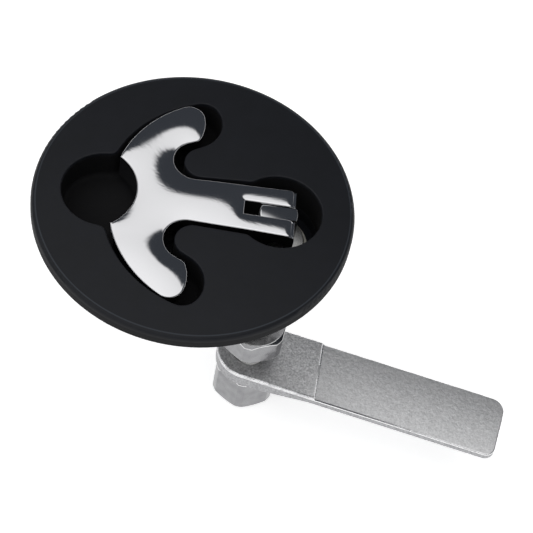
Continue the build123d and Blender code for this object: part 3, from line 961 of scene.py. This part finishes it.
# Cam arm: a steel casting with a thick hub and a thin blade, blasted to a fine matt sparkle. The
# hub keeps its coarser casting skin, and a faint crown across the arm grades its brightness.
ARM_SMOOTH_ANGLE = math.radians(30)
BLAST_GRAIN = 0.55 * MM
BLAST_DEPTH = 0.055 * MM
SKIN_GRAIN = 1.3 * MM
HUB_SKIN_DEPTH = 0.2 * MM
BLADE_SKIN_DEPTH = 0.09 * MM
ARM_ANGLE = math.radians(-12.3)
HUB_END = 20.1 * MM
BLADE_FADE = 2.0 * MM
ARM_CROWN_RADIUS = 90 * MM
arm = finished_copy("cam_arm", "arm", ARM_SMOOTH_ANGLE)
blasted, shader = surface_material("blasted_cast_steel", "#B8B8B9", 1, 0.44)
tree = blasted.node_tree
place = add_node(tree, "ShaderNodeTexCoord")
along_arm = add_node(
    tree, "ShaderNodeMapping",
    {"vector_type": "TEXTURE", "Location": (SHAFT_OFFSET, 0, 0), "Rotation": (0, 0, ARM_ANGLE)},
    Vector=place.outputs["Object"],
)
reach = add_node(tree, "ShaderNodeSeparateXYZ", None, Vector=along_arm.outputs["Vector"])
across_squared = add_node(
    tree, "ShaderNodeMath", {"operation": "MULTIPLY"},
    _0=reach.outputs["Y"], _1=reach.outputs["Y"],
)
crowned_across = add_node(
    tree, "ShaderNodeBump", {"invert": True, "Strength": 1.0, "Distance": 1 / (2 * ARM_CROWN_RADIUS)},
    Height=across_squared.outputs[0],
)
on_blade = add_node(
    tree, "ShaderNodeMapRange",
    {"From Min": HUB_END - BLADE_FADE / 2, "From Max": HUB_END + BLADE_FADE / 2},
    Value=reach.outputs["X"],
)
sparkle = add_node(
    tree, "ShaderNodeTexNoise", {"Scale": 1 / BLAST_GRAIN, "Detail": 4.0, "Roughness": 0.65},
    Vector=place.outputs["Object"],
)
skin = add_node(
    tree, "ShaderNodeTexNoise", {"Scale": 1 / SKIN_GRAIN, "Detail": 5.0, "Roughness": 0.6},
    Vector=place.outputs["Object"],
)
skin_depth = add_node(
    tree, "ShaderNodeMapRange", {"To Min": HUB_SKIN_DEPTH, "To Max": BLADE_SKIN_DEPTH},
    Value=on_blade.outputs["Result"],
)
coarse = add_node(
    tree, "ShaderNodeBump", {"Strength": 1.0},
    Height=skin.outputs["Fac"], Distance=skin_depth.outputs["Result"],
)
fine_bump = add_node(
    tree, "ShaderNodeBump", {"Strength": 1.0, "Distance": BLAST_DEPTH},
    Height=sparkle.outputs["Fac"], Normal=coarse.outputs["Normal"],
)
tree.links.new(fine_bump.outputs["Normal"], shader.inputs["Normal"])
tree.links.new(crowned_across.outputs["Normal"], coarse.inputs["Normal"])
speckle = add_node(
    tree, "ShaderNodeMapRange", {"From Min": 0.3, "From Max": 0.7},
    Value=sparkle.outputs["Fac"],
)
blade_colour = add_node(
    tree, "ShaderNodeMix", {"data_type": "RGBA", 6: linear("#BCBCBD"), 7: linear("#E0E0E1")},
    _0=speckle.outputs["Result"],
)
hub_colour = add_node(
    tree, "ShaderNodeMix", {"data_type": "RGBA", 6: linear("#A6A6A8"), 7: linear("#F0F0F1")},
    _0=speckle.outputs["Result"],
)
arm_colour = add_node(
    tree, "ShaderNodeMix", {"data_type": "RGBA"},
    _0=on_blade.outputs["Result"], _6=hub_colour.outputs[2], _7=blade_colour.outputs[2],
)
# The sides are painted darker as painted shade, while the step and the rounded edges are rubbed smoother and
# painted bright as a painted highlight
ARM_TOP = -63.4 * MM
STEP_DROP = 0.7 * MM
EDGE_ROUND_DEPTH = 0.5 * MM
EDGE_BAND = 0.03 * MM
RUB_AND_HIGHLIGHT_PATCH = 3.0 * MM
SHADED_SIDE_TOP = ARM_TOP - STEP_DROP - EDGE_ROUND_DEPTH
height = add_node(tree, "ShaderNodeSeparateXYZ", None, Vector=place.outputs["Object"])
bands = []
for top, depth in ((ARM_TOP, STEP_DROP), (ARM_TOP - STEP_DROP, EDGE_ROUND_DEPTH)):
    bands.append(add_node(
        tree, "ShaderNodeMath", {"operation": "COMPARE", 1: top - depth / 2, 2: depth / 2 - EDGE_BAND},
        _0=height.outputs["Z"],
    ))
either_band = add_node(
    tree, "ShaderNodeMath", {"operation": "MAXIMUM"},
    _0=bands[0].outputs[0], _1=bands[1].outputs[0],
)
patches = add_node(
    tree, "ShaderNodeTexNoise", {"Scale": 1 / RUB_AND_HIGHLIGHT_PATCH, "Detail": 2.0},
    Vector=place.outputs["Object"],
)
rub_and_highlight_share = add_node(
    tree, "ShaderNodeMapRange", {"From Min": 0.38, "From Max": 0.52},
    Value=patches.outputs["Fac"],
)
rubbed_and_highlighted = add_node(
    tree, "ShaderNodeMath", {"operation": "MULTIPLY"},
    _0=either_band.outputs[0], _1=rub_and_highlight_share.outputs["Result"],
)
arm_roughness = add_node(tree, "ShaderNodeMix", {2: 0.42, 3: 0.12}, _0=rubbed_and_highlighted.outputs[0])
tree.links.new(arm_roughness.outputs[0], shader.inputs["Roughness"])
# Painted shade: below the rounded edges the arm's sides get a darker colour
low = add_node(tree, "ShaderNodeMath", {"operation": "LESS_THAN", 1: SHADED_SIDE_TOP}, _0=height.outputs["Z"])
shaded_side_colour = add_node(
    tree, "ShaderNodeMix", {"data_type": "RGBA", 6: linear("#838385"), 7: linear("#BEBEC0")},
    _0=speckle.outputs["Result"],
)
colour_with_shaded_sides = add_node(
    tree, "ShaderNodeMix", {"data_type": "RGBA"},
    _0=low.outputs[0], _6=arm_colour.outputs[2], _7=shaded_side_colour.outputs[2],
)
# Painted highlight: on the rubbed patches of the step and the rounded edges the colour is painted brighter
highlighted_edge_colour = add_node(
    tree, "ShaderNodeMix", {"data_type": "RGBA", 7: linear("#E4E4E5")},
    _0=rubbed_and_highlighted.outputs[0], _6=colour_with_shaded_sides.outputs[2],
)
tree.links.new(highlighted_edge_colour.outputs[2], shader.inputs["Base Color"])
arm.data.materials.append(blasted)

bpy.context.scene.view_settings.view_transform = "Standard"
